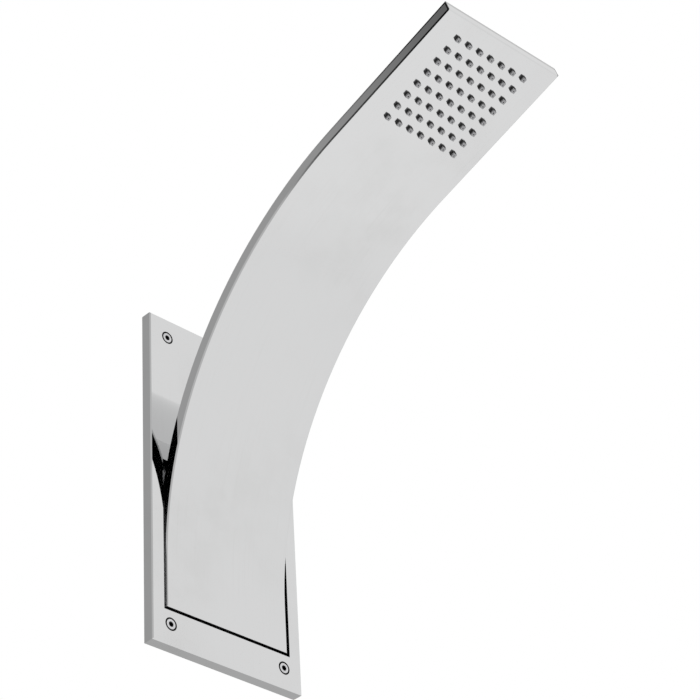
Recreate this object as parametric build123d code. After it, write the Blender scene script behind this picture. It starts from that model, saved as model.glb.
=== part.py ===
from build123d import *
from math import acos, cos, degrees, radians, sin
import os

os.makedirs("parts", exist_ok=True)

# A wall-mounted shower head: a flat hollow blade of polished steel that rises out of a window in
# its wall plate and curves out over the user, with a field of square nozzles in its flat end.
# X runs to the right along the wall, -Y points into the room and +Z is up.
# The origin is the centre of the four wall screws, on the wall's surface.

# Wall plate
plate_width = 150.0
plate_height = 300.0
plate_thickness = 10.0
plate_edge_break = 0.9
wall_screw_inset = 18.0
window_gap = 2.5

# Blade, measured along and behind its front face
blade_width = 122.0
blade_thickness = 11.0
blade_skin = 1.2
blade_edge_break = 1.0
blade_back_break = 0.8
blade_stand_proud = 0.5
blade_foot_height = 32.0
foot_length = 43.0
blade_radius = 295.0
blade_sweep = 72.5
spray_length = 140.0

# Nozzle field
nozzle_columns = 7
nozzle_rows = 8
nozzle_pitch = 12.0
first_row_from_tip = 17.0
nozzle_hole = 4.0
nozzle_reach = 3.0
nozzle_outlet = 1.0
nozzle_taper = 2.0
nozzle_play = 0.1

# Spray chamber behind the nozzle field
mat_thickness = 1.5
mat_side_gap = 5.8
mat_start = 4.0
mat_end = 117.0
cover_sheet = 0.8
cover_height = 6.3
dome_side_gap = 5.0
dome_start = 12.0
dome_end = 108.0
tunnel_end = 124.0
stud_radius = 1.5
stud_length = 5.0
stud_edge_gap = 4.5
end_stud_line = 17.0
first_stud_from_tip = 8.0
last_stud_from_tip = 112.5
side_stud_count = 4
nut_across_flats = 5.5
nut_height = 2.4

# Feed duct from the inlet to the chamber
duct_width = 60.0
duct_height = 3.3
duct_wall = 0.6
duct_seal = 0.7
duct_seal_length = 8.0
duct_grip = 10.0
duct_depth = 4.2
saddle_length = 12.0
saddle_wall = 5.0
saddle_floor = 1.0
saddle_shares = (0.4, 0.75)

# Water inlet
inlet_half_width = 34.0
inlet_wall = 1.2
inlet_foot = 1.5
inlet_channel_foot = 15.0
inlet_length = 100.0
socket_depth = 12.0
port_length = 4.0
tail_height = 28.0
tail_radius = 10.4775
tail_bore = 7.0
collar_radius = 12.0
tail_length = 22.0
tail_chamfer = 1.0
cartridge_radius = 8.4
cartridge_depth = 10.0
regulator_length = 7.0
regulator_floor = 2.0
regulator_wall = 1.3
regulator_post = 3.0
regulator_port_length = 2.6
regulator_port_width = 1.2
regulator_port_circle = 4.8
regulator_port_count = 6
regulator_ring_width = 2.2
regulator_ring_break = 0.5
strainer_thickness = 1.6
strainer_hole = 1.4
strainer_pitch = 2.2
strainer_rows = 5
grommet_width = 4.3

# Bracket behind the window
bracket_thickness = 3.0
bracket_lap = 6.0
bracket_tab_lap = 18.0
bracket_seal_gap = 2.3
bracket_tab_half_width = 45.0
bracket_corner = 4.0
bracket_screw_line = 35.0

# Bars inside the blade's foot that take the blade screws
seat_bar_inlet_gap = 6.0
seat_bar_side_gap = 3.8
seat_bar_foot = 2.0
seat_bar_length = 39.0
seat_screw_from_end = 8.0
inlet_screw_line = 26.0

# Wall seal
seal_inset = 1.2
seal_width = 2.5
seal_depth = 1.5
seal_corner = 3.0

# Screws: radius of shank and head, length, socket
wall_screw_radius = 2.5
wall_screw_neck = 2.2
wall_screw_head = 4.6
wall_screw_length = 25.0
wall_seat_gap = 1.0
wall_seat_depth = 1.2
wall_socket = 3.0
rear_screw_radius = 2.0
rear_screw_head = 4.0
bracket_screw_length = 8.0
blade_screw_length = 8.0
rear_socket = 2.5
socket_share = 0.6
screw_tip = 0.5
thread_spare = 1.0

# Clearances
fit = 0.1
loose_fit = 0.2
hole_fit = 0.3

# Places worked out from the sizes above
wall_screw_x = plate_width / 2 - wall_screw_inset
wall_screw_z = plate_height / 2 - wall_screw_inset
front_y = -(plate_thickness + blade_stand_proud)
foot_z = blade_foot_height - plate_height / 2
bend_z = foot_z + foot_length
arc_length = blade_radius * radians(blade_sweep)
bend_end = foot_length + arc_length
blade_length = bend_end + spray_length
seat_y = -bracket_thickness
inner_seat_y = seat_y - blade_skin
inside_depth = blade_thickness - blade_skin
half_blade = blade_width / 2
half_inside = half_blade - blade_skin
half_window = half_blade + window_gap
window_bottom = foot_z - window_gap
clear_rise = window_gap - blade_stand_proud + blade_thickness
clear_angle = acos(1 - clear_rise / (blade_radius + blade_thickness))
window_top = bend_z + (blade_radius + blade_thickness) * sin(clear_angle)
tail_z = foot_z + tail_height
rim_depth = blade_skin + mat_thickness
dome_depth = rim_depth + cover_height
socket_near = duct_depth - duct_seal
socket_far = duct_depth + duct_height + duct_seal
half_duct = duct_width / 2
half_socket = half_duct + duct_seal
half_tunnel = half_socket + cover_sheet
mat_half_width = half_inside - mat_side_gap
stud_line = mat_half_width - stud_edge_gap
tunnel_stud_line = (half_tunnel + stud_line) / 2
dome_half_width = stud_line - dome_side_gap
half_bracket = plate_width / 2 - seal_inset - seal_width - bracket_seal_gap
seat_bar_inner = inlet_half_width + seat_bar_inlet_gap
seat_bar_outer = half_inside - seat_bar_side_gap
bracket_top = window_top + bracket_tab_lap
bracket_bottom = window_bottom - bracket_tab_lap
all_across = 2 * plate_width
all_height = 4 * plate_height
all_depth = 2 * plate_thickness + 2 * blade_thickness


def blade_point(station, depth):
    """Point of the blade's side view: station along the front face, depth behind it."""
    turn = min(max(station - foot_length, 0.0), arc_length) / blade_radius
    past = max(station - bend_end, 0.0)
    y = front_y - blade_radius * (1 - cos(turn)) - past * sin(turn) + depth * cos(turn)
    below = min(station - foot_length, 0.0)
    z = bend_z + below + blade_radius * sin(turn) + past * cos(turn) + depth * sin(turn)
    return Vector(0, y, z)


def blade_run(depth, start, end):
    """Edges of the side view at one depth: straight foot, arc and straight spray end."""
    bends = [station for station in (foot_length, bend_end) if start < station < end]
    stations = [start] + bends + [end]
    edges = []
    for first, last in zip(stations, stations[1:]):
        middle = (first + last) / 2
        if foot_length < middle < bend_end:
            points = [blade_point(station, depth) for station in (first, middle, last)]
            edges.append(ThreePointArc(*points))
        else:
            edges.append(Line(blade_point(first, depth), blade_point(last, depth)))
    return edges


def blade_band(near, far, start, end, half_width):
    """Solid that follows the blade between two depths and two stations."""
    ends = [Line(blade_point(station, near), blade_point(station, far)) for station in (start, end)]
    outline = Wire(blade_run(near, start, end) + blade_run(far, start, end) + ends)
    return extrude(Face(outline), amount=half_width, dir=(1, 0, 0), both=True)


def cut_behind(shape, limit_y):
    """Takes away what lies further towards the wall than limit_y."""
    return shape - Pos(0, limit_y + all_depth / 2, 0) * Box(all_across, all_depth, all_height)


def block(x_from, x_to, y_from, y_to, z_from, z_to):
    """Box between two corners."""
    sizes = (x_to - x_from, y_to - y_from, z_to - z_from)
    centre = ((x_from + x_to) / 2, (y_from + y_to) / 2, (z_from + z_to) / 2)
    return Pos(*centre) * Box(*sizes)


def facing_room(x, y, z):
    """Plane on the wall's grid whose normal points into the room."""
    return Plane(origin=(x, y, z), x_dir=(1, 0, 0), z_dir=(0, -1, 0))


def facing_wall(x, y, z):
    """Plane on the wall's grid whose normal points into the wall."""
    return Plane(origin=(x, y, z), x_dir=(1, 0, 0), z_dir=(0, 1, 0))


def countersunk(shank, head, length):
    """Turned form of a countersunk screw: head flush at the origin, shank down along -Z."""
    cone_end = -(head - shank)
    points = [(0, 0), (head, 0), (shank, cone_end), (shank, screw_tip - length)]
    points += [(shank - screw_tip, -length), (0, -length)]
    profile = Plane.XZ * make_face(Polyline(*points, close=True))
    return revolve(profile, Axis.Z)


def hex_prism(across_flats, height):
    """Hexagonal prism standing on the origin, with flats to the left and right."""
    outline = RegularPolygon(across_flats / 2, 6, major_radius=False, rotation=30)
    return extrude(outline, amount=height)


def necked_screw(shank, neck, head, length, neck_end):
    """Turned form of a countersunk screw with a thinner neck above its thread."""
    points = [(0, 0), (head, 0), (neck, neck - head), (neck, -neck_end), (shank, -neck_end)]
    points += [(shank, screw_tip - length), (shank - screw_tip, -length), (0, -length)]
    profile = Plane.XZ * make_face(Polyline(*points, close=True))
    return revolve(profile, Axis.Z)


def hex_socket(across_flats):
    """Cutter for the hexagon socket of a screw whose head is flush at the origin."""
    return Pos(0, 0, -socket_share * across_flats) * hex_prism(across_flats, across_flats)


def screw_hole(shank, head, length):
    """Cutter for the seat of a countersunk screw, with clearance all round."""
    return Pos(0, 0, fit / 2) * countersunk(shank + fit, head + fit, length + thread_spare)


def ring(outer, inner, length):
    """Plain ring standing on the origin."""
    tube = Cylinder(outer, length) - Cylinder(inner, length)
    return Pos(0, 0, length / 2) * tube


def disc(radius, length):
    """Plain disc standing on the origin."""
    return Pos(0, 0, length / 2) * Cylinder(radius, length)


def both_sides(x):
    """The same distance to the left and to the right."""
    return (-x, x)


# Positions of the fasteners on the wall's grid
wall_screw_places = [(x, z) for x in both_sides(wall_screw_x) for z in both_sides(wall_screw_z)]
bracket_screw_rows = (window_bottom - bracket_tab_lap / 2, window_top + bracket_tab_lap / 2)
bracket_screw_places = [(x, z) for x in both_sides(bracket_screw_line) for z in bracket_screw_rows]
seat_bar_bottom = foot_z + seat_bar_foot
seat_rows = (seat_bar_bottom + seat_screw_from_end, seat_bar_bottom + seat_bar_length - seat_screw_from_end)
seat_screw_x = (seat_bar_inner + seat_bar_outer) / 2
inlet_screw_z = foot_z + (inlet_foot + inlet_channel_foot) / 2
blade_screw_places = [(x, z) for x in both_sides(seat_screw_x) for z in seat_rows]
blade_screw_places += [(x, inlet_screw_z) for x in both_sides(inlet_screw_line)]

# The spray end is flat: local x across, y back from the tip, z behind the front face
tip = blade_point(blade_length, 0)
lean = radians(blade_sweep)
spray_plane = Plane(origin=tip, x_dir=(1, 0, 0), z_dir=(0, cos(lean), sin(lean)))
column_middle = (nozzle_columns - 1) / 2
nozzle_places = [
    ((column - column_middle) * nozzle_pitch, first_row_from_tip + row * nozzle_pitch)
    for column in range(nozzle_columns)
    for row in range(nozzle_rows)
]
stud_step = (last_stud_from_tip - first_stud_from_tip) / (side_stud_count - 1)
stud_places = [
    (x, first_stud_from_tip + step * stud_step)
    for x in both_sides(stud_line)
    for step in range(side_stud_count)
]
stud_places += [(x, first_stud_from_tip) for x in both_sides(end_stud_line)]
stud_places += [(x, last_stud_from_tip) for x in both_sides(tunnel_stud_line)]


def spray_holes(shape, places):
    """The same sketch at each of the places on the spray end."""
    return Sketch() + [Pos(x, y) * shape for x, y in places]


def bracket_outline(margin):
    """Bracket seen from the front: a wide middle with a tab above and below."""
    half_wide = half_bracket + margin
    low = window_bottom - bracket_lap - margin
    high = window_top + bracket_lap + margin
    tab_low = bracket_bottom - margin
    tab_high = bracket_top + margin
    wide = Pos(0, (low + high) / 2) * Rectangle(2 * half_wide, high - low)
    tab_width = 2 * (bracket_tab_half_width + margin)
    tabs = Pos(0, (tab_low + tab_high) / 2) * Rectangle(tab_width, tab_high - tab_low)
    outline = wide + tabs
    rows = outline.vertices().group_by(Axis.Y)
    return fillet(rows[0] + rows[-1], bracket_corner)


def wall_layer(sketch, y_from, y_to):
    """Extrudes a sketch drawn on the wall's grid (x, z) from one depth to another."""
    return extrude(facing_room(0, y_to, 0) * sketch, amount=y_to - y_from)


def seal_frame(grow):
    """Frame of the wall seal or of its groove."""
    outer_width = plate_width - 2 * seal_inset + 2 * grow
    outer_height = plate_height - 2 * seal_inset + 2 * grow
    band = 2 * (seal_width + 2 * grow)
    outer = RectangleRounded(outer_width, outer_height, seal_corner + seal_width + grow)
    inner = RectangleRounded(outer_width - band, outer_height - band, seal_corner - grow)
    return outer - inner


def make_wall_plate():
    """Solid plate with a window for the blade, screw seats and a rebate for the bracket."""
    plate = wall_layer(Rectangle(plate_width, plate_height), -plate_thickness, 0)
    plate = chamfer(plate.faces().sort_by(Axis.Y)[0].edges(), plate_edge_break)
    window_height = window_top - window_bottom
    window = Pos(0, (window_top + window_bottom) / 2) * Rectangle(2 * half_window, window_height)
    plate -= wall_layer(window, -2 * plate_thickness, plate_thickness)
    plate -= wall_layer(bracket_outline(loose_fit), seat_y, plate_thickness)
    plate -= wall_layer(seal_frame(fit), -seal_depth, plate_thickness)
    wall_hole = screw_hole(wall_screw_radius, wall_screw_head, wall_screw_length)
    head_rim = disc(wall_screw_head + wall_seat_gap, 2 * wall_seat_depth)
    wall_hole += Pos(0, 0, -wall_seat_depth) * head_rim
    for x, z in wall_screw_places:
        plate -= facing_room(x, -plate_thickness, z) * wall_hole
    rear_hole = screw_hole(rear_screw_radius, rear_screw_head, bracket_screw_length)
    for x, z in bracket_screw_places:
        plate -= facing_wall(x, 0, z) * rear_hole
    return plate


def make_base_bracket():
    """Sheet that closes the window from behind and joins the blade's foot to the plate."""
    bracket = wall_layer(bracket_outline(0), seat_y, 0)
    screw_seat = screw_hole(rear_screw_radius, rear_screw_head, blade_screw_length)
    for x, z in bracket_screw_places + blade_screw_places:
        bracket -= facing_wall(x, 0, z) * screw_seat
    grommet_seat = collar_radius + fit + grommet_width + fit
    bracket -= facing_wall(0, 2 * seat_y, tail_z) * disc(grommet_seat, 4 * bracket_thickness)
    return bracket


def make_blade_face():
    """Front sheet of the blade with the square nozzle holes and the weld studs behind them."""
    face = blade_band(0, blade_skin, 0, blade_length, half_blade)
    front = [edge for edge in face.edges() if touches_front(edge)]
    face = chamfer(front, blade_edge_break)
    holes = spray_holes(Rectangle(nozzle_hole, nozzle_hole), nozzle_places)
    face -= spray_plane * Pos(0, 0, -blade_skin) * extrude(holes, amount=3 * blade_skin)
    studs = spray_holes(Circle(stud_radius), stud_places)
    return face + spray_plane * Pos(0, 0, blade_skin) * extrude(studs, amount=stud_length)


def touches_front(edge):
    """True for an edge of the blade's front face, on its outline."""
    middle = edge @ 0.5
    on_outline = abs(abs(middle.X) - half_blade) < fit
    at_tip = (middle - blade_point(blade_length, 0)).length < fit
    at_foot = (middle - blade_point(0, 0)).length < fit
    return (on_outline and near_depth(middle, 0)) or at_tip or at_foot


def touches_back(edge):
    """True for a long edge of the blade's back."""
    middle = edge @ 0.5
    return abs(abs(middle.X) - half_blade) < fit and near_depth(middle, blade_thickness)


def near_depth(point, depth):
    """True where a point lies at one depth behind the blade's front face."""
    if point.Z < bend_z:
        return abs(point.Y - front_y - depth) < fit
    centre = Vector(point.X, front_y - blade_radius, bend_z)
    spoke = point - centre
    past = blade_point(bend_end, 0) - blade_point(blade_length, 0)
    if spoke.dot(past) > 0 or degrees(acos(spoke.Y / spoke.length)) < blade_sweep:
        return abs(spoke.length - blade_radius - depth) < fit
    across = Vector(0, cos(lean), sin(lean))
    return abs((point - tip).dot(across) - depth) < fit


def make_blade_shell():
    """Tray behind the face: back, sides and ends, flattened where the foot seats on the bracket."""
    shell = cut_behind(blade_band(blade_skin, blade_thickness, 0, blade_length, half_blade), seat_y)
    shell = chamfer([edge for edge in shell.edges() if touches_back(edge)], blade_back_break)
    end = blade_length - blade_skin
    hollow = blade_band(0, inside_depth, blade_skin, end, half_inside)
    shell -= cut_behind(hollow, inner_seat_y)
    screw_seat = screw_hole(rear_screw_radius, rear_screw_head, blade_screw_length)
    for x, z in blade_screw_places:
        shell -= facing_wall(x, 0, z) * screw_seat
    collar_hole = disc(collar_radius + hole_fit, 4 * bracket_thickness)
    return shell - facing_wall(0, 2 * inner_seat_y, tail_z) * collar_hole


def make_nozzle_mat():
    """Silicone sheet with a square nozzle for each hole of the face."""
    length = mat_end - mat_start
    sheet = Pos(0, mat_start + length / 2) * Rectangle(2 * mat_half_width, length)
    sheet -= spray_holes(Circle(stud_radius + loose_fit), stud_places)
    mat = Pos(0, 0, blade_skin) * extrude(sheet, amount=mat_thickness)
    side = nozzle_hole - 2 * nozzle_play
    height = blade_skin + nozzle_reach
    feet = spray_holes(Rectangle(side, side), nozzle_places)
    mat += Pos(0, 0, blade_skin) * extrude(feet, amount=-height, taper=nozzle_taper)
    outlets = spray_holes(Rectangle(nozzle_outlet, nozzle_outlet), nozzle_places)
    mat -= Pos(0, 0, -2 * nozzle_reach) * extrude(outlets, amount=2 * nozzle_reach + 2 * rim_depth)
    return spray_plane * mat


def make_chamber_cover():
    """Pressed lid over the nozzle mat, with a tunnel that takes the end of the feed duct."""
    length = mat_end - mat_start
    rim = Pos(0, mat_start + length / 2) * Rectangle(2 * mat_half_width, length)
    rim -= spray_holes(Circle(stud_radius + loose_fit), stud_places)
    cover = Pos(0, 0, rim_depth) * extrude(rim, amount=cover_sheet)
    cover += block(-dome_half_width, dome_half_width, dome_start, dome_end, rim_depth, dome_depth)
    cover += block(-half_tunnel, half_tunnel, dome_end, tunnel_end, rim_depth, dome_depth)
    half_hollow = dome_half_width - cover_sheet
    hollow_ends = (dome_start + cover_sheet, dome_end - cover_sheet)
    cover -= block(-half_hollow, half_hollow, *hollow_ends, 0, dome_depth - cover_sheet)
    mouth = (dome_end - 2 * cover_sheet, tunnel_end + cover_sheet)
    cover -= block(-half_socket, half_socket, *mouth, socket_near, socket_far)
    return spray_plane * cover


def make_chamber_nuts():
    """Nuts on the weld studs, clamping the lid and the mat against the face."""
    nut = hex_prism(nut_across_flats, nut_height) - disc(stud_radius + fit / 2, nut_height)
    seat = rim_depth + cover_sheet
    return Compound(children=[spray_plane * Pos(x, y, seat) * nut for x, y in stud_places])


def make_feed_duct():
    """Flat tube that follows the blade's curve from the inlet to the chamber."""
    start = inlet_length - duct_grip
    end = blade_length - tunnel_end + socket_depth
    far = duct_depth + duct_height
    outside = blade_band(duct_depth, far, start, end, half_duct)
    bore = blade_band(duct_depth + duct_wall, far - duct_wall, start, end, half_duct - duct_wall)
    return outside - bore


def make_duct_seal(start, end):
    """Rubber sleeve between the duct and its socket."""
    near = socket_near + fit / 2
    far = socket_far - fit / 2
    sleeve = blade_band(near, far, start, end, half_socket - fit / 2)
    far_bore = duct_depth + duct_height + fit / 2
    return sleeve - blade_band(duct_depth - fit / 2, far_bore, start, end, half_duct + fit / 2)


def make_duct_saddles():
    """Moulded saddles that hold the duct off the blade's back."""
    saddles = []
    duct_far = duct_depth + duct_height + fit
    for share in saddle_shares:
        start = foot_length + share * arc_length
        end = start + saddle_length
        near = duct_depth - saddle_floor
        body = blade_band(near, inside_depth - fit, start, end, half_duct + saddle_wall)
        saddles.append(body - blade_band(duct_depth - fit, duct_far, start, end, half_duct + fit))
    return Compound(children=saddles)


def make_inlet_body():
    """Cast inlet: a threaded tail into the wall, and a flat channel up to the duct's socket."""
    near = blade_skin + loose_fit
    far = inside_depth - loose_fit
    body = blade_band(near, far, inlet_foot, inlet_length, inlet_half_width)
    body = cut_behind(body, inner_seat_y)
    tail = disc(tail_radius, tail_length)
    tail = chamfer(tail.edges().group_by(Axis.Z)[-1], tail_chamfer)
    body += facing_wall(0, 0, tail_z) * tail
    body += facing_wall(0, inner_seat_y, tail_z) * disc(collar_radius, -inner_seat_y)
    socket_start = inlet_length - socket_depth
    port_start = socket_start - port_length
    half_channel = half_duct - duct_wall
    channel_near = near + inlet_wall
    channel_far = far - inlet_wall
    channel = blade_band(channel_near, channel_far, inlet_channel_foot, port_start, half_channel)
    channel_y = inner_seat_y - inlet_wall
    body -= cut_behind(channel, channel_y)
    port_far = duct_depth + duct_height - duct_wall
    body -= blade_band(duct_depth + duct_wall, port_far, port_start, socket_start, half_channel)
    body -= blade_band(socket_near, socket_far, socket_start, inlet_length, half_socket)
    bore_start = channel_y - fit
    body -= facing_wall(0, bore_start, tail_z) * disc(tail_bore, 2 * tail_length)
    cartridge_y = tail_length - cartridge_depth
    body -= facing_wall(0, cartridge_y, tail_z) * disc(cartridge_radius, 2 * cartridge_depth)
    hole = screw_hole(rear_screw_radius, rear_screw_head, blade_screw_length)
    for x in both_sides(inlet_screw_line):
        body -= facing_wall(x, 0, inlet_screw_z) * hole
    return body


def make_inlet_grommet():
    """Rubber ring that closes the bracket around the inlet's collar."""
    inner = collar_radius + fit
    return facing_wall(0, seat_y, tail_z) * ring(inner + grommet_width, inner, bracket_thickness)


def make_flow_regulator():
    """Cup in the tail with ports in its floor and a post for the regulating ring."""
    radius = cartridge_radius - fit
    cup = disc(radius, regulator_length)
    cup -= Pos(0, 0, regulator_floor) * disc(radius - regulator_wall, regulator_length)
    cup += disc(regulator_post, regulator_length - regulator_floor)
    ports = PolarLocations(regulator_port_circle, regulator_port_count)
    port = Box(regulator_port_width, regulator_port_length, 3 * regulator_floor)
    cup -= [place * port for place in ports]
    return facing_wall(0, tail_length - cartridge_depth, tail_z) * cup


def make_regulator_ring():
    """Ring of soft rubber around the regulator's post."""
    inner = regulator_post + fit
    loop = ring(inner + regulator_ring_width, inner, regulator_ring_width)
    loop = chamfer(loop.edges().filter_by(GeomType.CIRCLE), regulator_ring_break)
    seat = tail_length - cartridge_depth + regulator_floor
    return facing_wall(0, seat, tail_z) * loop


def make_inlet_strainer():
    """Perforated disc that keeps grit out of the regulator."""
    radius = cartridge_radius - fit
    plate = disc(radius, strainer_thickness)
    spots = GridLocations(strainer_pitch, strainer_pitch, strainer_rows, strainer_rows)
    cuts = [spot * Box(strainer_hole, strainer_hole, 3 * strainer_thickness) for spot in spots]
    return facing_wall(0, tail_length - cartridge_depth + regulator_length, tail_z) * (plate - cuts)


def make_seat_bars():
    """Threaded bars welded inside the blade's foot."""
    top = seat_bar_bottom + seat_bar_length
    depth = (front_y + blade_skin + loose_fit, inner_seat_y)
    right = block(seat_bar_inner, seat_bar_outer, *depth, seat_bar_bottom, top)
    bars = [right, mirror(right, Plane.YZ)]
    hole = screw_hole(rear_screw_radius, rear_screw_head, blade_screw_length)
    for x, z in blade_screw_places:
        cutter = facing_wall(x, 0, z) * hole
        bars = [bar - cutter for bar in bars]
    return Compound(children=bars)


def make_rear_screws(places, length):
    """Countersunk screws driven from the wall's side."""
    screw = countersunk(rear_screw_radius, rear_screw_head, length) - hex_socket(rear_socket)
    return Compound(children=[facing_wall(x, 0, z) * screw for x, z in places])


def make_wall_screws():
    """Countersunk socket screws that hold the plate to the wall."""
    sizes = (wall_screw_radius, wall_screw_neck, wall_screw_head, wall_screw_length)
    screw = necked_screw(*sizes, plate_thickness) - hex_socket(wall_socket)
    return Compound(children=[facing_room(x, -plate_thickness, z) * screw for x, z in wall_screw_places])


lower_seal_start = inlet_length - duct_seal_length - fit
upper_seal_start = blade_length - tunnel_end + fit

pieces = {
    "wall_plate": make_wall_plate(),
    "wall_screws": make_wall_screws(),
    "wall_seal": wall_layer(seal_frame(0), -seal_depth, 0),
    "base_bracket": make_base_bracket(),
    "bracket_screws": make_rear_screws(bracket_screw_places, bracket_screw_length),
    "blade_face": make_blade_face(),
    "blade_shell": make_blade_shell(),
    "seat_bars": make_seat_bars(),
    "blade_screws": make_rear_screws(blade_screw_places, blade_screw_length),
    "inlet_body": make_inlet_body(),
    "inlet_grommet": make_inlet_grommet(),
    "inlet_strainer": make_inlet_strainer(),
    "flow_regulator": make_flow_regulator(),
    "regulator_ring": make_regulator_ring(),
    "feed_duct": make_feed_duct(),
    "lower_duct_seal": make_duct_seal(lower_seal_start, lower_seal_start + duct_seal_length),
    "upper_duct_seal": make_duct_seal(upper_seal_start, upper_seal_start + duct_seal_length),
    "duct_saddles": make_duct_saddles(),
    "chamber_cover": make_chamber_cover(),
    "nozzle_mat": make_nozzle_mat(),
    "chamber_nuts": make_chamber_nuts(),
}

for name, shape in pieces.items():
    export_step(shape, f"parts/{name}.step")
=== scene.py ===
# %% [markdown]
# # A blade-shaped shower head
# The real object is a hollow blade of polished steel. It rises out of a window in a thick wall plate,
# curves out over the user and ends in a field of square nozzles. Its solids come from the CAD model, all
# in one frame: X runs along the wall, -Y points into the room, +Z is up, and every length is in metres.
# This lesson gives those solids their finishes, adds the threads that the solids leave plain, and sets up
# a studio in which polished steel looks like polished steel.

# %% Load the solids
import bpy
import math
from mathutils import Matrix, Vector


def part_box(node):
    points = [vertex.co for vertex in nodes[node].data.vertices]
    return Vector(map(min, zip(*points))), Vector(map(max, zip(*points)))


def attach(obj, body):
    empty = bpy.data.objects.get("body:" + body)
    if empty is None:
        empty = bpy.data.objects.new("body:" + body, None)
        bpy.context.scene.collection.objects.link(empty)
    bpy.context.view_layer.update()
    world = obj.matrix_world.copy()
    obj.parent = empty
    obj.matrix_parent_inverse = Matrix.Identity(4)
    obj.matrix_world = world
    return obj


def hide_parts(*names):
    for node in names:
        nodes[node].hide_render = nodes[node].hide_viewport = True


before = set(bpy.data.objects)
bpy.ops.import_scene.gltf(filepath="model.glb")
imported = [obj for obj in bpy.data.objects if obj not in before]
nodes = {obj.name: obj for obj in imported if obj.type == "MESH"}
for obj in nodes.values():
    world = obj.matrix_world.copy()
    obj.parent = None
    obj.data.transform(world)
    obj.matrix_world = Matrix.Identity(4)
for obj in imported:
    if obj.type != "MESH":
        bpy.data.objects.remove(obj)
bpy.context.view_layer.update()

print("solids loaded:", len(nodes))

# %% [markdown]
# ## The camera
# The picture was taken from the left and from below, so the blade leans over the viewer. A camera could
# be aimed by eye. Here its place, its turn and its long lens were worked out from the corners of the
# plate and the rows of nozzles, because a small mistake in the angle shows at once on a shape with such
# long straight edges.

# %% Camera
camera_place = Vector((-1.167007, -1.325407, -1.089991))
camera_turn = (125.0063, 2.9269, -43.0108)
lens_length = 133.707
sensor_width = 36.0

camera_data = bpy.data.cameras.new("camera")
camera_data.lens = lens_length
camera_data.sensor_width = sensor_width
camera = bpy.data.objects.new("camera", camera_data)
camera.location = camera_place
camera.rotation_euler = [math.radians(angle) for angle in camera_turn]
bpy.context.scene.collection.objects.link(camera)
bpy.context.scene.camera = camera
print("camera is", round(camera_place.length, 3), "m from the middle of the plate's back")

# %% [markdown]
# ## Helpers for shader nodes
# A finish is a small network of nodes. Nodes could be added and linked one at a time in the editor. In a
# script it reads better to have short helpers. The first adds a node, and the second feeds one of its
# inputs, with a link or with a plain value. Each of the others stands for one kind of node and gives back
# the socket of its result, so that a chain of nodes reads like a sum.

# %% Node helpers
def add_node(tree, kind, **settings):
    """Adds a node and sets its properties."""
    node = tree.nodes.new(kind)
    for name, value in settings.items():
        setattr(node, name, value)
    return node


def feed(tree, source, target):
    """Links an output socket to an input socket, or sets the input to a plain value."""
    if isinstance(source, bpy.types.NodeSocket):
        tree.links.new(source, target)
    else:
        target.default_value = source


def maths(tree, operation, *values):
    """Joins values with a maths node."""
    node = add_node(tree, "ShaderNodeMath", operation=operation)
    for value, target in zip(values, node.inputs):
        feed(tree, value, target)
    return node.outputs["Value"]


def vector_maths(tree, operation, *vectors):
    """Joins vectors with a maths node, to a vector or to one value."""
    node = add_node(tree, "ShaderNodeVectorMath", operation=operation)
    for vector, target in zip(vectors, node.inputs):
        feed(tree, vector, target)
    return node.outputs["Value" if operation in ("DOT_PRODUCT", "LENGTH") else "Vector"]


def split(tree, vector):
    """Takes a vector apart and returns the sockets X, Y and Z."""
    node = add_node(tree, "ShaderNodeSeparateXYZ")
    feed(tree, vector, node.inputs["Vector"])
    return node.outputs


def noise(tree, vector, scale, detail, raggedness=0.5):
    """Adds a noise that goes up and down smoothly between 0 and 1."""
    node = add_node(tree, "ShaderNodeTexNoise")
    feed(tree, vector, node.inputs["Vector"])
    feed(tree, scale, node.inputs["Scale"])
    feed(tree, detail, node.inputs["Detail"])
    feed(tree, raggedness, node.inputs["Roughness"])
    return node.outputs["Fac"]


def map_range(tree, value, low, high, out_low, out_high):
    """Maps a value smoothly from one range to another."""
    node = add_node(tree, "ShaderNodeMapRange", interpolation_type="SMOOTHSTEP")
    feed(tree, value, node.inputs["Value"])
    feed(tree, low, node.inputs["From Min"])
    feed(tree, high, node.inputs["From Max"])
    feed(tree, out_low, node.inputs["To Min"])
    feed(tree, out_high, node.inputs["To Max"])
    return node.outputs["Result"]


print("node helpers are ready")

# %% [markdown]
# ## Helpers for mixing
# A Mix node has one set of sockets for values and another for colours, all under the same names, so they
# are found by number. One table keeps those numbers in one place. A colour is written as red, green and
# blue alone, and its opacity is added here.

# %% Mixing helpers
mix_sockets = {"FLOAT": (2, 3, 0), "RGBA": (6, 7, 2)}


def mix_value(tree, factor, first, second, kind="FLOAT"):
    """Mixes two values by a factor, or two of another kind of data."""
    first_number, second_number, result_number = mix_sockets[kind]
    node = add_node(tree, "ShaderNodeMix", data_type=kind)
    feed(tree, factor, node.inputs["Factor"])
    feed(tree, first, node.inputs[first_number])
    feed(tree, second, node.inputs[second_number])
    return node.outputs[result_number]


def mix_colour(tree, factor, first, second):
    """Mixes two colours by a factor, each of them a socket or a plain colour."""
    pair = [(*colour, 1.0) if isinstance(colour, tuple) else colour for colour in (first, second)]
    return mix_value(tree, factor, *pair, kind="RGBA")


print("mixing helpers are ready for", ", ".join(mix_sockets))

# %% [markdown]
# ## Helpers for node groups
# An effect that several finishes share could be copied into each of them. It is built once instead, as a
# node group with named inputs and outputs, and every material places that group with values of its own.

# %% Group helpers
VALUE = "NodeSocketFloat"
VECTOR = "NodeSocketVector"


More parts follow.
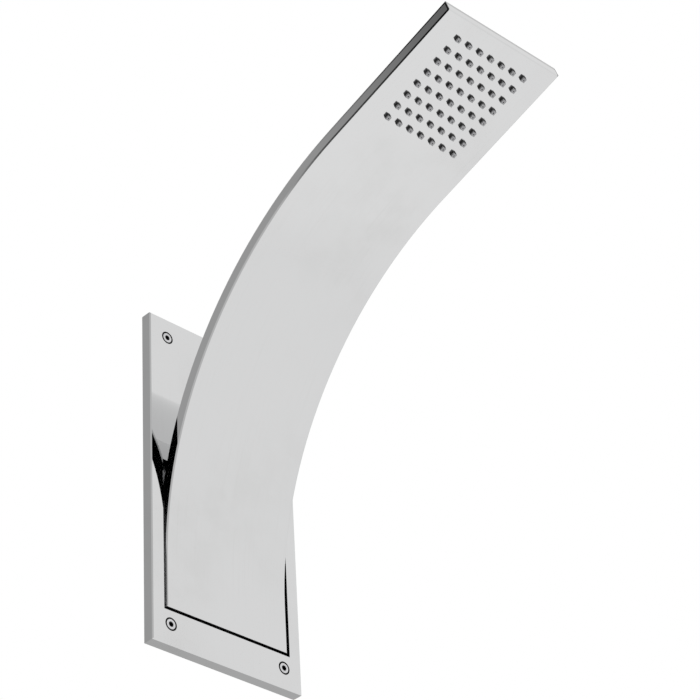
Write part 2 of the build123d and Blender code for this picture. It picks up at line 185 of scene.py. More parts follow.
def new_group(name, inputs, outputs):
    """Starts a node group and returns its tree, its input node and its output node."""
    tree = bpy.data.node_groups.new(name, "ShaderNodeTree")
    for socket_name, socket_type in inputs:
        tree.interface.new_socket(socket_name, in_out="INPUT", socket_type=socket_type)
    for socket_name, socket_type in outputs:
        tree.interface.new_socket(socket_name, in_out="OUTPUT", socket_type=socket_type)
    return tree, add_node(tree, "NodeGroupInput"), add_node(tree, "NodeGroupOutput")


def place_group(tree, name, vector, **values):
    """Places a node group in a material with its own values."""
    node = add_node(tree, "ShaderNodeGroup", node_tree=bpy.data.node_groups[name])
    feed(tree, vector, node.inputs["Vector"])
    for socket_name, value in values.items():
        feed(tree, value, node.inputs[socket_name])
    return node


print("group helpers are ready")

# %% [markdown]
# ## Shared effect: polishing lines
# A polishing belt leaves hairlines that all run one way. A picture of scratches could be wrapped round
# the blade. A noise that is squeezed across the blade and stretched along it gives the same lines with no
# picture, at any distance, and it follows the curve because the blade's width is always X.

# %% Polishing lines
line_detail = 4.0
line_raggedness = 0.65
line_limits = (0.52, 0.74)
tree, entry, result = new_group(
    "polishing_lines",
    [("Vector", VECTOR), ("Across", VALUE), ("Along", VALUE)],
    [("Height", VALUE), ("Mask", VALUE)],
)
stretch = add_node(tree, "ShaderNodeCombineXYZ")
for axis, way in (("X", "Across"), ("Y", "Along"), ("Z", "Along")):
    feed(tree, entry.outputs[way], stretch.inputs[axis])
stretched = vector_maths(tree, "MULTIPLY", entry.outputs["Vector"], stretch.outputs["Vector"])
lines = noise(tree, stretched, scale=1.0, detail=line_detail, raggedness=line_raggedness)
feed(tree, lines, result.inputs["Height"])
feed(tree, map_range(tree, lines, *line_limits, 0.0, 1.0), result.inputs["Mask"])
print("group made:", tree.name)

# %% [markdown]
# ## Shared effect: smudges
# Nothing in a bathroom is evenly clean: hands and dried water leave soft patches that are a little less
# shiny. They could be painted by hand. Two noises of different size multiplied together give patches with
# ragged edges, and one group serves every material.

# %% Smudges
patch_detail = 2.0
patch_limits = (0.42, 0.72)
times_finer = 6.0
speck_detail = 3.0
speck_limits = (0.3, 0.7)
speck_least = 0.35
tree, entry, result = new_group("smudges", [("Vector", VECTOR), ("Scale", VALUE)], [("Mask", VALUE)])
patches = noise(tree, entry.outputs["Vector"], entry.outputs["Scale"], patch_detail)
finer_scale = maths(tree, "MULTIPLY", entry.outputs["Scale"], times_finer)
specks = noise(tree, entry.outputs["Vector"], finer_scale, speck_detail)
soft_patches = map_range(tree, patches, *patch_limits, 0.0, 1.0)
ragged_edges = map_range(tree, specks, *speck_limits, speck_least, 1.0)
feed(tree, maths(tree, "MULTIPLY", soft_patches, ragged_edges), result.inputs["Mask"])
print("group made:", tree.name)

# %% [markdown]
# ## Shared effect: grain
# Cast brass, moulded plastic and rubber have a fine pebbled skin that they take from their mould. It
# could be sculpted, but the grains are only about half a millimetre across. A cell texture for the
# pebbles and a noise for their uneven height make a bump that costs nothing.

# %% Grain
pebble_share = 0.6
uneven_detail = 3.0
uneven_limits = (0.35, 0.65)
tree, entry, result = new_group(
    "grain", [("Vector", VECTOR), ("Scale", VALUE)], [("Height", VALUE), ("Mask", VALUE)]
)
pebbles = add_node(tree, "ShaderNodeTexVoronoi", feature="SMOOTH_F1")
feed(tree, entry.outputs["Vector"], pebbles.inputs["Vector"])
feed(tree, entry.outputs["Scale"], pebbles.inputs["Scale"])
uneven = noise(tree, entry.outputs["Vector"], entry.outputs["Scale"], uneven_detail)
height = maths(tree, "MULTIPLY_ADD", pebbles.outputs["Distance"], pebble_share, uneven)
feed(tree, height, result.inputs["Height"])
feed(tree, map_range(tree, uneven, *uneven_limits, 0.0, 1.0), result.inputs["Mask"])
print("group made:", tree.name)

# %% [markdown]
# ## Starting a material
# Every finish here is one Principled shader whose constants are set on its own sockets. Only what changes
# over the surface is linked: colour, roughness and the bump that bends the normals. All patterns read
# Object coordinates, which are the CAD's own metres, so a pattern keeps its real size on every piece. The
# solids arrive with plain materials named after their slots, so the finishes are kept in a table under
# the same names.

# %% Material helpers
finishes = {}
slot_of = {name: node.material_slots[0].name.split(".")[0] for name, node in nodes.items()}


def new_material(name, **constants):
    """Starts a material and returns its tree, its shader and its Object coordinates."""
    material = bpy.data.materials.new(name + "_finish")
    finishes[name] = material
    material.use_nodes = True
    tree = material.node_tree
    shader = tree.nodes["Principled BSDF"]
    for socket_name, value in constants.items():
        feed(tree, value, shader.inputs[socket_name])
    return tree, shader, add_node(tree, "ShaderNodeTexCoord").outputs["Object"]


def bump(tree, shader, height, strength, distance):
    """Bends the shader's normals by a height."""
    node = add_node(tree, "ShaderNodeBump")
    feed(tree, strength, node.inputs["Strength"])
    feed(tree, distance, node.inputs["Distance"])
    feed(tree, height, node.inputs["Height"])
    feed(tree, node.outputs["Normal"], shader.inputs["Normal"])


def dress(slot_name):
    """Gives every solid of one slot its finish."""
    wearing = [name for name, slot in slot_of.items() if slot == slot_name]
    for name in wearing:
        nodes[name].material_slots[0].material = finishes[slot_name]
    print(slot_name, "on", len(wearing), "nodes")


print("slots to dress:", ", ".join(sorted(set(slot_of.values()))))

# %% [markdown]
# ## Places on the object
# Some finishes depend on where a point lies: in the window of the plate, at a screw or on the spray end.
# Such places could be painted on by hand. It is surer to take them from the boxes of the solids, and to
# make masks from them with two helpers. One tells whether a value lies between two limits, and the other
# gives the distance along a slanted direction, because the spray end leans out from the wall.

# %% Places and masks
wall_screw_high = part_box("wall_screws")[1]
face_low, face_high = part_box("blade_face")
plate_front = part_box("wall_plate")[0][1]
hair = 0.0001
head_radius = 0.0046
head_rim = 0.0057
wall_screw_x = wall_screw_high[0] - head_radius
wall_screw_z = wall_screw_high[2] - head_radius
window_gap = 0.0027
window_half_width = face_high[0] + window_gap
window_bottom = face_low[2] - window_gap
window_top = 0.035
spray_lean = math.radians(72.5)
spray_tip = Vector((0.0, -0.35031, 0.24845))
to_tip = Vector((0.0, -math.sin(spray_lean), math.cos(spray_lean)))
to_back = Vector((0.0, math.cos(spray_lean), math.sin(spray_lean)))


def steps_between(tree, value, low, high):
    """Gives 1 where a value lies between two limits, and 0 elsewhere."""
    above = maths(tree, "GREATER_THAN", value, low)
    below = maths(tree, "LESS_THAN", value, high)
    return maths(tree, "MULTIPLY", above, below)


def distance_along(tree, place, start, heading):
    """Gives how far each place lies from a start along a heading."""
    return vector_maths(tree, "DOT_PRODUCT", vector_maths(tree, "SUBTRACT", place, start), heading)


print("window is", round(2.0 * window_half_width, 4), "m wide")
print("wall screws stand at", round(wall_screw_x, 4), "and", round(wall_screw_z, 4), "m from the middle")

# %% [markdown]
# ## Places of the wall screws
# The four wall screws stand in a rectangle round the origin. Their places could be masked one by one.
# Taking the absolute value of the coordinates folds the four into one, so a single group gives the
# distance from the nearest screw, and the flat place round it.

# %% Group of the screw places
tree, entry, result = new_group(
    "wall_screw_place", [("Vector", VECTOR)], [("Radius", VALUE), ("Flat", VECTOR)]
)
folded = vector_maths(tree, "ABSOLUTE", entry.outputs["Vector"])
centred = vector_maths(tree, "SUBTRACT", folded, (wall_screw_x, 0.0, wall_screw_z))
flattened = vector_maths(tree, "MULTIPLY", centred, (1.0, 0.0, 1.0))
feed(tree, vector_maths(tree, "LENGTH", flattened), result.inputs["Radius"])
feed(tree, flattened, result.inputs["Flat"])
print("group made:", tree.name)

# %% [markdown]
# ## Polished steel
# The plate and the blade are stainless steel, polished until they mirror the room. A mirror with one even
# roughness looks like a drawing. The real sheet keeps faint hairlines along its length and dulls where it
# was touched, so hairlines and smudges together say how dull each point is.

# %% Polished steel: hairlines and smudges
hairline_share = 0.45
tree, shader, place = new_material("polished_steel", Metallic=1.0)
hairlines = place_group(tree, "polishing_lines", place, Across=900.0, Along=9.0)
touched = place_group(tree, "smudges", place, Scale=9.0)
dulled = maths(tree, "MULTIPLY_ADD", hairlines.outputs["Mask"], hairline_share, touched.outputs["Mask"])
print("material started:", finishes["polished_steel"].name)

# %% [markdown]
# ## Where the polish stops
# A polishing wheel can't reach into the window of the plate or into the rims round the screw heads. Those
# walls stay as the cutter left them, dull with oxide, and on top of that they are painted near-black as
# the shade that falls into the gaps, which is why the gaps look black. They could be given a second
# material, but the solids keep one slot each. A mask from the place of each point does it: between the
# front and the back of the plate, and either inside the window or close to one of the four screws. The
# left side of the blade's foot, which was polished before the blade was fitted, stays bright.

# %% Polished steel: oxide and painted shade where the wheel can't reach
bright_up_to = -0.022
point = split(tree, place)
across_foot = steps_between(tree, point["X"], face_low[0] - hair, window_half_width)
up_window = steps_between(tree, point["Z"], window_bottom, window_top)
behind_foot = maths(tree, "MULTIPLY", across_foot, up_window)
left_of_foot = steps_between(tree, point["X"], -window_half_width, 0.0)
dark_end = steps_between(tree, point["Z"], bright_up_to, window_top)
left_gap = maths(tree, "MULTIPLY", left_of_foot, dark_end)
on_left_side = steps_between(tree, point["X"], face_low[0] - hair, face_low[0] + hair)
bright_end = maths(tree, "LESS_THAN", point["Z"], bright_up_to)
bright_side = maths(tree, "MULTIPLY", on_left_side, bright_end)
in_window = maths(tree, "SUBTRACT", maths(tree, "MAXIMUM", behind_foot, left_gap), bright_side)
near_screw = place_group(tree, "wall_screw_place", place)
at_rim = maths(tree, "LESS_THAN", near_screw.outputs["Radius"], head_rim)
between_faces = steps_between(tree, point["Y"], plate_front + hair, -hair)
# oxide with painted shade: the window walls and the screw rims are darkened as the shade in the gaps
oxide_and_shaded = maths(tree, "MULTIPLY", maths(tree, "MAXIMUM", in_window, at_rim), between_faces)
print("unpolished up to", window_top, "m and within", head_rim, "m of the screws")

# %% [markdown]
# ## The ground weld and painted edge reflections
# The weld that closes the end of the blade was ground flat. It shows as a darker line along the back of
# the tip. The blade's side edges get a painted reflection: near-black lines that stand for the dark room
# mirrored in them, and that fade away from the tip. A thin strip of another material could be laid there.
# Masks from the distance to the tip and to the front face draw the same lines on the sheet itself.

# %% Polished steel: the ground weld and painted edge reflections
weld_depth = 0.0078
tip_edge_width = 0.0014
edge_depth = 0.0086
eased_edge = 0.0010
reflection_reach = 0.20
past_tip = distance_along(tree, place, spray_tip, to_tip)
behind_face = distance_along(tree, place, spray_tip, to_back)
on_end = maths(tree, "GREATER_THAN", past_tip, -2.0 * hair)
end_line = maths(tree, "MULTIPLY", on_end, maths(tree, "GREATER_THAN", behind_face, weld_depth))
close_to_tip = maths(tree, "GREATER_THAN", past_tip, -tip_edge_width)
close_to_back = maths(tree, "GREATER_THAN", behind_face, edge_depth)
close_to_front = steps_between(tree, behind_face, -hair, eased_edge)
close_to_edges = maths(tree, "MAXIMUM", close_to_front, close_to_back)
from_middle = maths(tree, "ABSOLUTE", point["X"])
on_side = maths(tree, "GREATER_THAN", from_middle, face_high[0] - eased_edge + hair)
side_line = maths(tree, "MULTIPLY", maths(tree, "MAXIMUM", close_to_tip, close_to_edges), on_side)
fading = map_range(tree, past_tip, -reflection_reach, 0.0, 0.0, 1.0)
# painted reflection: near-black lines on the side edges, fading away from the tip
painted_reflection = maths(tree, "MULTIPLY", side_line, fading)
print("burnt edges fade over", reflection_reach, "m")

# %% [markdown]
# ## Colour and gloss of the steel
# All that was masked now moves the colour and the roughness of one shader. Separate shaders could be
# mixed, but one shader with mixed values is easier to read and to export. Hairlines and smudges change
# the bright steel by a few hundredths only, while the painted edge reflections, and the oxide with
# painted shade in the gaps, cover it.

# %% Polished steel: colour and gloss
bright_steel = (0.690, 0.692, 0.694)
dull_steel = (0.655, 0.656, 0.655)
ground_weld = (0.46, 0.46, 0.46)
# near-black for the painted reflection on the side edges
reflected_dark = (0.02, 0.02, 0.02)
# near-black: the cutter's oxide, darkened further as painted shade in the gaps
oxide_and_shade_colour = (0.010, 0.010, 0.010)
oxide_roughness = 0.85
most_dulled = 1.3
steel_roughness = (0.035, 0.11)
steel_colour = mix_colour(tree, dulled, bright_steel, dull_steel)
welded_colour = mix_colour(tree, end_line, steel_colour, ground_weld)
reflection_colour = mix_colour(tree, painted_reflection, welded_colour, reflected_dark)
feed(tree, mix_colour(tree, oxide_and_shaded, reflection_colour, oxide_and_shade_colour), shader.inputs["Base Color"])
sheen = map_range(tree, dulled, 0.0, most_dulled, *steel_roughness)
feed(tree, mix_value(tree, oxide_and_shaded, sheen, oxide_roughness), shader.inputs["Roughness"])
bump(tree, shader, hairlines.outputs["Height"], strength=0.03, distance=0.00004)
dress("polished_steel")

# %% [markdown]
# ## Plain steel
# The bracket, the bars and the sheet parts inside the blade are left as they come from the rolling mill:
# grey, with long dull streaks. They could be given a plain grey. The same line group with wider, shorter
# lines and more roughness gives rolled sheet.

# %% Plain steel
clean_sheet = (0.50, 0.50, 0.51)
oily_sheet = (0.41, 0.41, 0.42)
streak_limits = (0.25, 0.75)
sheet_roughness = (0.30, 0.48)
tree, shader, place = new_material("plain_steel", Metallic=1.0)
rolled = place_group(tree, "polishing_lines", place, Across=420.0, Along=26.0)
oily = place_group(tree, "smudges", place, Scale=24.0)
feed(tree, mix_colour(tree, oily.outputs["Mask"], clean_sheet, oily_sheet), shader.inputs["Base Color"])
dull_streaks = map_range(tree, rolled.outputs["Height"], *streak_limits, *sheet_roughness)
feed(tree, dull_streaks, shader.inputs["Roughness"])
bump(tree, shader, rolled.outputs["Height"], strength=0.12, distance=0.00006)
dress("plain_steel")

# %% [markdown]
# ## Screw steel
# Screws are turned, so the tool leaves rings on their heads. The rings could be cut into the mesh, but
# they are less than half a millimetre apart. A ring texture round the folded place of the wall screws
# lies on all four of them. The sockets and the edges of the heads, where shade falls into the socket and
# the gap round each head, are painted near-black as shade, so a spot in the middle and a ring at the edge
# are dark.

# %% Screw steel
clean_screw = (0.66, 0.66, 0.67)
handled_screw = (0.58, 0.58, 0.59)
# near-black: painted shade in the sockets and round the edges of the heads
painted_screw_shade = (0.02, 0.02, 0.02)
screw_roughness = (0.16, 0.30)
socket_reach = 0.0023
head_edge = 0.0042
ring_scale = 700.0
ring_distortion = 0.6
tree, shader, place = new_material("screw_steel", Metallic=1.0)
near_screw = place_group(tree, "wall_screw_place", place)
turned = add_node(tree, "ShaderNodeTexWave", wave_type="RINGS", rings_direction="SPHERICAL")
feed(tree, ring_scale, turned.inputs["Scale"])
feed(tree, ring_distortion, turned.inputs["Distortion"])
feed(tree, near_screw.outputs["Flat"], turned.inputs["Vector"])
point = split(tree, place)
in_socket = maths(tree, "LESS_THAN", near_screw.outputs["Radius"], socket_reach)
at_edge = steps_between(tree, near_screw.outputs["Radius"], head_edge, head_rim)
in_plate = steps_between(tree, point["Y"], plate_front - hair, 0.0)
# painted shade: the socket and the gap round the head's edge are darkened
shaded_spots = maths(tree, "MULTIPLY", maths(tree, "MAXIMUM", in_socket, at_edge), in_plate)
handled = place_group(tree, "smudges", place, Scale=160.0)
screw_colour = mix_colour(tree, handled.outputs["Mask"], clean_screw, handled_screw)
feed(tree, mix_colour(tree, shaded_spots, screw_colour, painted_screw_shade), shader.inputs["Base Color"])
feed(tree, map_range(tree, turned.outputs["Fac"], 0.0, 1.0, *screw_roughness), shader.inputs["Roughness"])
bump(tree, shader, turned.outputs["Fac"], strength=0.08, distance=0.00003)
dress("screw_steel")

# %% [markdown]
# ## Cast brass
# The inlet is a brass casting whose sealing faces are machined afterwards. The casting is dull, pebbled
# and stained. A single brass colour would look like gold paint, so smudges darken the colour, and the
# grain moves the roughness and the bump together.

# %% Cast brass
clean_brass = (0.70, 0.50, 0.24)
stained_brass = (0.56, 0.38, 0.18)
brass_roughness = (0.26, 0.42)
tree, shader, place = new_material("cast_brass", Metallic=1.0)
sandy = place_group(tree, "grain", place, Scale=1500.0)
stained = place_group(tree, "smudges", place, Scale=45.0)
brass_colour = mix_colour(tree, stained.outputs["Mask"], clean_brass, stained_brass)
feed(tree, brass_colour, shader.inputs["Base Color"])
feed(tree, map_range(tree, sandy.outputs["Mask"], 0.0, 1.0, *brass_roughness), shader.inputs["Roughness"])
bump(tree, shader, sandy.outputs["Height"], strength=0.18, distance=0.00008)
dress("cast_brass")

# %% [markdown]
# ## Silicone, rubber and plastic
# The nozzles are soft silicone with a satin skin, coloured near-black as painted shade on their walls and
# roots, the seals are black rubber, and the regulator and the saddles are white moulded plastic. Each
# could have a network of its own. All three share the grain, at their own size, with their own colours
# and gloss, so one function makes them.

# %% Soft and moulded finishes
moulded_smudges = 60.0
moulded_bump = 0.00005


def moulded_finish(name, clean, marked, grain_scale, gloss, strength):
    """Makes a moulded material from two colours, a grain size and a range of roughness."""
    tree, shader, place = new_material(name)
    skin = place_group(tree, "grain", place, Scale=grain_scale)
    marks = place_group(tree, "smudges", place, Scale=moulded_smudges)
    colour = mix_colour(tree, marks.outputs["Mask"], clean, marked)
    feed(tree, colour, shader.inputs["Base Color"])
    feed(tree, map_range(tree, skin.outputs["Mask"], 0.0, 1.0, *gloss), shader.inputs["Roughness"])
    bump(tree, shader, skin.outputs["Height"], strength, moulded_bump)
    dress(name)
    return tree, shader, place, colour


moulded_finish(
    "seal_rubber",
    clean=(0.030, 0.030, 0.031),
    marked=(0.045, 0.045, 0.045),
    grain_scale=2200.0,
    gloss=(0.50, 0.70),
    strength=0.25,
)
moulded_finish(
    "moulded_plastic",
    clean=(0.80, 0.80, 0.78),
    marked=(0.72, 0.72, 0.70),
    grain_scale=1800.0,
    gloss=(0.35, 0.50),
    strength=0.12,
)
# the nozzles' near-black is painted shade on their walls and roots; their tips get painted light below
tree, shader, place, silicone_colour = moulded_finish(
    "nozzle_silicone",
    clean=(0.015, 0.015, 0.016),
    marked=(0.012, 0.012, 0.012),
    grain_scale=2600.0,
    gloss=(0.45, 0.60),
    strength=0.10,
)

# %% [markdown]
# ## Painted light on tips and outlets
# The nozzles are soft so that scale can be rubbed off with a thumb. Their tips and outlets are painted
# pale: painted light on the tips, and painted light in the outlets where shade would fall. Fifty-six
# nozzles are too many to mask one by one. The distance in front of the face gives all the tips at once,
# and folding the grid of nozzles onto one nozzle gives the outlets.

# %% Painted light on tips and outlets
nozzle_pitch = 0.012
first_row_from_tip = 0.017
outlet_reach = 0.0006
lit_tip_limits = (0.0016, 0.0020)
painted_light_silicone = (0.42, 0.42, 0.43)


def near_outlet(tree, value):
    """Gives 1 where a coordinate lies within the outlet of the nearest nozzle in a row."""
    folded = maths(tree, "PINGPONG", value, nozzle_pitch / 2.0)
    return maths(tree, "LESS_THAN", folded, outlet_reach)


out_of_face = distance_along(tree, place, spray_tip, -to_back)
# painted light: the tips go pale from 1.6 mm in front of the face
lit_tips = map_range(tree, out_of_face, *lit_tip_limits, 0.0, 1.0)
point = split(tree, place)
from_first_row = distance_along(tree, place, spray_tip - first_row_from_tip * to_tip, to_tip)
in_outlet = maths(tree, "MULTIPLY", near_outlet(tree, point["X"]), near_outlet(tree, from_first_row))
# painted light on the tips and in the outlets
painted_light_mask = maths(tree, "MAXIMUM", lit_tips, in_outlet)
feed(tree, mix_colour(tree, painted_light_mask, silicone_colour, painted_light_silicone), shader.inputs["Base Color"])
print("nozzles are", nozzle_pitch, "m apart, and pale from", lit_tip_limits[0], "m in front of the face")

# %% [markdown]
# ## Copies for the threads
# The solids are smooth where the real pieces are threaded: on the inlet's tail and on the ends of the
# wall screws. A thread could be cut out of them with a Boolean, which is slow and leaves slivers. It is
# easier to build it up. A copy of the solid is slimmed to the root of the thread, and a ridge that winds
# round it makes the crests, at the size that the solid had.

# %% Helpers for copies
same_corner = 0.000001
smooth_angle = math.radians(30.0)


def make_active(piece):
    """Selects one piece alone and makes it the active one."""
    bpy.ops.object.select_all(action="DESELECT")
    piece.select_set(True)
    bpy.context.view_layer.objects.active = piece


def copy_of(node_name, piece_name):
    """Copies a solid, joins the corners that its file keeps apart and shades it smooth."""
    piece = bpy.data.objects.new(piece_name, nodes[node_name].data.copy())
    bpy.context.scene.collection.objects.link(piece)
    make_active(piece)
    bpy.ops.object.mode_set(mode="EDIT")
    bpy.ops.mesh.select_mode(type="VERT")
    bpy.ops.mesh.select_all(action="SELECT")
    bpy.ops.mesh.remove_doubles(threshold=same_corner)
    bpy.ops.mesh.select_all(action="DESELECT")
    bpy.ops.object.mode_set(mode="OBJECT")
    bpy.ops.mesh.customdata_custom_splitnormals_clear()
    bpy.ops.object.shade_smooth_by_angle(angle=smooth_angle)
    return piece


def slim(piece, axis, radius, from_y, factor):
    """Draws the points at one radius, from one depth on, in towards an axis that runs along Y."""
    make_active(piece)
    axis_x, axis_z = axis
    for vertex in piece.data.vertices:
        reach = math.hypot(vertex.co.x - axis_x, vertex.co.z - axis_z)
        vertex.select = abs(reach - radius) < hair and vertex.co.y > from_y
    bpy.ops.object.mode_set(mode="EDIT")
    bpy.ops.transform.resize(value=(factor, 1.0, factor), center_override=(axis_x, 0.0, axis_z))
    bpy.ops.mesh.select_all(action="DESELECT")
    bpy.ops.object.mode_set(mode="OBJECT")


def join_to(piece, others):
    """Joins other pieces to one piece, in its own finish."""
    make_active(piece)
    for other in others:
        other.data.materials.append(piece.material_slots[0].material)
        other.select_set(True)
    bpy.ops.object.join()
    print(piece.name, "has", len(piece.data.polygons), "faces")


print("copies are shaded smooth up to", round(math.degrees(smooth_angle)), "degrees")

# %% [markdown]
# ## A ridge that winds
# A thread is one profile that turns round an axis while it moves along it. It could be drawn point by
# point. The Screw modifier does just this with an outline: the four corners of a plane become the profile
# of the ridge, wide at its foot and narrow at its crest, and the modifier winds it to the pitch of the
# thread.

# %% Thread helper
foot_share = 0.45
crest_share = 0.08


def thread_ridge(axis, root, crest, pitch, first_y, turns, steps):
    """Winds one ridge of a right-handed thread round an axis that runs along Y."""
    bpy.ops.object.select_all(action="DESELECT")
    bpy.ops.mesh.primitive_plane_add(size=1.0, location=(axis[0], first_y, axis[1]))
    ridge = bpy.context.object
    foot_half = foot_share * pitch
    crest_half = crest_share * pitch
    corners = ((root, -foot_half), (crest, -crest_half), (root, foot_half), (crest, crest_half))
    for vertex, (reach, along) in zip(ridge.data.vertices, corners):
        vertex.co = (reach, along, 0.0)
    bpy.ops.object.mode_set(mode="EDIT")
    bpy.ops.mesh.select_all(action="SELECT")
    bpy.ops.mesh.delete(type="ONLY_FACE")
    bpy.ops.object.mode_set(mode="OBJECT")
    winding = ridge.modifiers.new("winding", "SCREW")
    winding.axis = "Y"
    winding.screw_offset = pitch
    winding.iterations = turns
    winding.steps = steps
    winding.render_steps = steps
    bpy.ops.object.modifier_apply(modifier=winding.name)
    bpy.ops.object.mode_set(mode="EDIT")
    bpy.ops.mesh.select_all(action="SELECT")
    bpy.ops.mesh.fill_holes(sides=len(corners))
    bpy.ops.mesh.normals_make_consistent(inside=False)
    bpy.ops.object.mode_set(mode="OBJECT")
    bpy.ops.object.transform_apply(location=True, rotation=True, scale=True)
    bpy.ops.object.shade_smooth_by_angle(angle=smooth_angle)
    return ridge


print("a ridge takes", round(2.0 * foot_share, 2), "of its pitch at the foot")

# %% [markdown]
# ## The inlet's pipe thread
# The tail carries a G1/2 pipe thread: fourteen turns to the inch and 20.955 mm across its crests. The
# ridge could run the whole length. It starts a little way from the collar and stops before the chamfered
# end, which gets thinner with the root, so that a fitting finds the thread.

# %% Thread of the inlet
tail_axis = (0.0, -0.090)
pipe_crest = 0.0104775
pipe_root = 0.0093155
pipe_pitch = 0.001814
pipe_end_radius = 0.0095
pipe_end_y = 0.0215
pipe_end_factor = 0.94
threaded_inlet = copy_of("inlet_body", "threaded_inlet")
slim(threaded_inlet, tail_axis, pipe_crest, -hair, pipe_root / pipe_crest)
slim(threaded_inlet, tail_axis, pipe_end_radius, pipe_end_y, pipe_end_factor)
pipe_ridge = thread_ridge(
    tail_axis, pipe_root - hair, pipe_crest, pipe_pitch, first_y=0.0014, turns=10, steps=48
)
join_to(threaded_inlet, [pipe_ridge])
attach(threaded_inlet, "root")
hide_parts("inlet_body")

# %% [markdown]
# ## Threads of the wall screws
# The wall screws are M5: 0.8 mm from turn to turn. Only the ends that go into the wall are threaded, so
# that the plain neck turns freely in the plate. One screw could be finished and copied, but the solids
# come as one mesh of four. So one call winds the ridge of one screw, and a loop over the four corners
# makes them all.

# %% Threads of the wall screws
screw_crest = 0.0025
screw_root = 0.00207
screw_pitch = 0.0008
screw_end_radius = 0.0020
screw_end_y = 0.0140
screw_end_factor = 0.88
threaded_screws = copy_of("wall_screws", "threaded_wall_screws")
screw_ridges = []
for corner_x in (-wall_screw_x, wall_screw_x):
    for corner_z in (-wall_screw_z, wall_screw_z):
        corner = (corner_x, corner_z)
        slim(threaded_screws, corner, screw_crest, -hair, screw_root / screw_crest)
        slim(threaded_screws, corner, screw_end_radius, screw_end_y, screw_end_factor)
        screw_ridge = thread_ridge(
            corner, screw_root - hair, screw_crest, screw_pitch, first_y=0.0008, turns=16, steps=24
        )
        screw_ridges.append(screw_ridge)
join_to(threaded_screws, screw_ridges)
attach(threaded_screws, "root")
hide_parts("wall_screws")

# %% [markdown]
# ## The studio
# A polished sheet shows the room more than itself, so the room is what has to be right. In a real studio
# a big white room lights the front of the blade, a grey cloth at the back on the left darkens its side,
# and one black card makes the dark bands where the blade leaves the plate. Lamps, cloth and card could be
# modelled. A world whose level depends on the direction does the same without edges that would show in
# the steel. The table below has one ramp on each line: the axis it runs along, where it starts and ends,
# and its two levels of light.

# %% Studio world: ramps of light
ramps = {
    "cloth": ("Y", 0.47, 0.575, 0.13, 0.43),
    "cloth_reach": ("Y", 0.1, 0.4, 0.0, 1.0),
    "above_floor": ("Z", -0.3, 0.4, 0.6, 1.0),
    "left_front": ("Y", 0.2, 0.35, 1.0, 0.0),
    "above_corner": ("Z", -0.645, -0.54, 0.0, 0.62),
    "beside_corner": ("X", -0.70, -0.62, 0.0, 0.62),
    "beside_card": ("X", -0.62, -0.57, 1.0, 0.0),
    "right_back": ("Y", 0.25, 0.55, 0.95, 0.52),
    "overhead": ("Z", 0.6, 0.85, 1.0, 0.95),
    "to_right": ("X", -0.25, 0.25, 0.0, 1.0),
    "on_matt": ("X", -0.6, 0.4, 0.25, 1.1),
}
world = bpy.data.worlds.new("studio")
world.use_nodes = True
bpy.context.scene.world = world
tree = world.node_tree
heading = add_node(tree, "ShaderNodeTexCoord").outputs["Generated"]
direction = split(tree, heading)
level = {name: map_range(tree, direction[axis], *limits) for name, (axis, *limits) in ramps.items()}
print("ramps of light:", len(level))

# %% [markdown]
# ## Cloth, corner and card
# On the left, the cloth is grey at the back, and the front is light but for two dark places. The low
# corner far left gives the blade its thin dark front edge, and the black card gives the bands at its
# foot. The right is nearly white. Straight into the lens the world stays plain white. Matt surfaces could
# share the mirror's world, but they would get its dark places as well, so they have one soft ramp that
# grows towards the right.

# %% Studio world: levels of light
card_place = Vector((-0.545, -0.641, 0.541))
card_edge = math.cos(math.radians(10.0))
card_middle = math.cos(math.radians(6.0))
left_cloth = maths(tree, "MULTIPLY", level["cloth"], level["cloth_reach"])
shaded_cloth = maths(tree, "MULTIPLY", left_cloth, level["above_floor"])
off_corner = maths(tree, "MAXIMUM", level["above_corner"], level["beside_corner"])
left_window = maths(tree, "MULTIPLY", level["left_front"], off_corner)
towards_card = vector_maths(tree, "DOT_PRODUCT", heading, card_place)
off_card = map_range(tree, towards_card, card_edge, card_middle, 1.0, 0.0)
around_card = maths(tree, "MAXIMUM", off_card, level["beside_card"])
shaded_window = maths(tree, "MULTIPLY", left_window, around_card)
left_level = maths(tree, "MAXIMUM", shaded_cloth, shaded_window)
right_level = maths(tree, "MULTIPLY", level["right_back"], level["overhead"])
mirror_level = mix_value(tree, level["to_right"], left_level, right_level)
ray = add_node(tree, "ShaderNodeLightPath").outputs
object_level = mix_value(tree, ray["Is Glossy Ray"], level["on_matt"], mirror_level)
straight = maths(tree, "MAXIMUM", ray["Is Camera Ray"], ray["Is Transmission Ray"])
background = tree.nodes["Background"]
background.inputs["Color"].default_value = (1.0, 1.0, 1.0, 1.0)
feed(tree, mix_value(tree, straight, object_level, 1.0), background.inputs["Strength"])
bpy.context.scene.view_settings.view_transform = "Standard"
print("world made:", world.name)

# %% [markdown]
# ## The floor
# The head hangs about two metres over the floor, a pale round sheet that takes the shadow. A plain white
# floor would turn grey where the lamp is weak. Seen straight or in the steel, most of the floor's tone is
# therefore a plain near-white of its own, which fades to the room's tone at the rim, so that no edge
# shows in the blade.

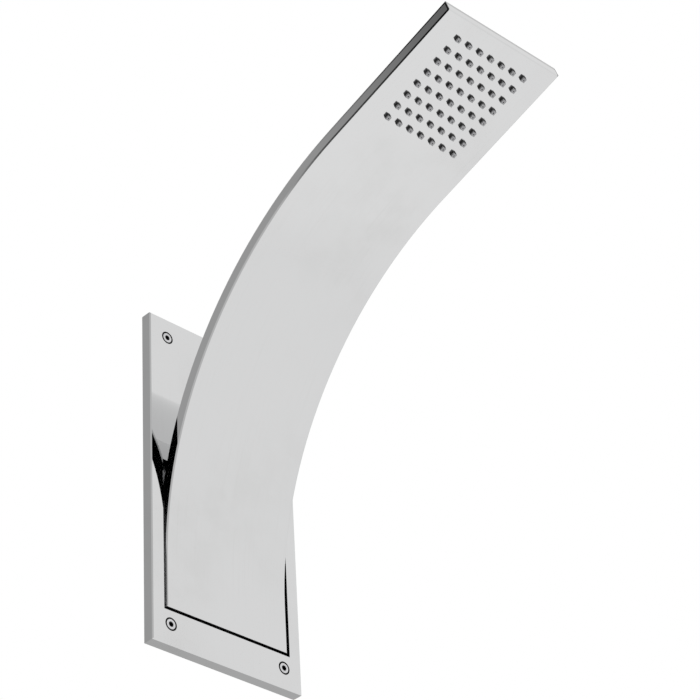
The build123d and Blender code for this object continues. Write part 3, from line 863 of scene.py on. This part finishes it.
# %% Floor
floor_height = -2.1
floor_radius = 2.2
rim_start = 1.5
floor_glow = 1.04
rim_glow = 0.985
glow_share = 0.88
clean_floor = (0.95, 0.95, 0.95)
trodden_floor = (0.935, 0.935, 0.935)
bpy.ops.object.select_all(action="DESELECT")
bpy.ops.mesh.primitive_circle_add(
    vertices=96, radius=floor_radius, fill_type="NGON", location=(0.0, 0.0, floor_height)
)
floor = bpy.context.object
floor.name = "studio_floor"
tree, shader, place = new_material("studio_floor", Roughness=0.9)
speckle = place_group(tree, "smudges", place, Scale=3.0)
floor_colour = mix_colour(tree, speckle.outputs["Mask"], clean_floor, trodden_floor)
feed(tree, floor_colour, shader.inputs["Base Color"])
floor_reach = vector_maths(tree, "LENGTH", place)
plain_white = add_node(tree, "ShaderNodeEmission")
glow = map_range(tree, floor_reach, rim_start, floor_radius, floor_glow, rim_glow)
feed(tree, glow, plain_white.inputs["Strength"])
ray = add_node(tree, "ShaderNodeLightPath").outputs
seen = maths(tree, "MAXIMUM", ray["Is Camera Ray"], ray["Is Glossy Ray"])
floor_mix = add_node(tree, "ShaderNodeMixShader")
feed(tree, maths(tree, "MULTIPLY", seen, glow_share), floor_mix.inputs["Fac"])
feed(tree, shader.outputs["BSDF"], floor_mix.inputs[1])
feed(tree, plain_white.outputs["Emission"], floor_mix.inputs[2])
feed(tree, floor_mix.outputs["Shader"], tree.nodes["Material Output"].inputs["Surface"])
floor.data.materials.append(finishes["studio_floor"])
print("floor at", floor_height, "m")

# %% [markdown]
# ## The lamp
# One large soft lamp gives the shadow. A small one would draw hard edges. It is hidden from mirrors,
# because its square would show as a patch on the steel.

# %% Lamp
lamp_place = Vector((1.1, -1.5, 1.5))
lamp_power = 6.0
lamp_size = 1.4
lamp_data = bpy.data.lights.new("soft_lamp", "AREA")
lamp_data.energy = lamp_power
lamp_data.size = lamp_size
lamp = bpy.data.objects.new("soft_lamp", lamp_data)
lamp.location = lamp_place
lamp.rotation_euler = (-lamp_place).to_track_quat("-Z", "Y").to_euler()
lamp.visible_glossy = False
bpy.context.scene.collection.objects.link(lamp)
print("lamp is", round(lamp_place.length, 2), "m away")
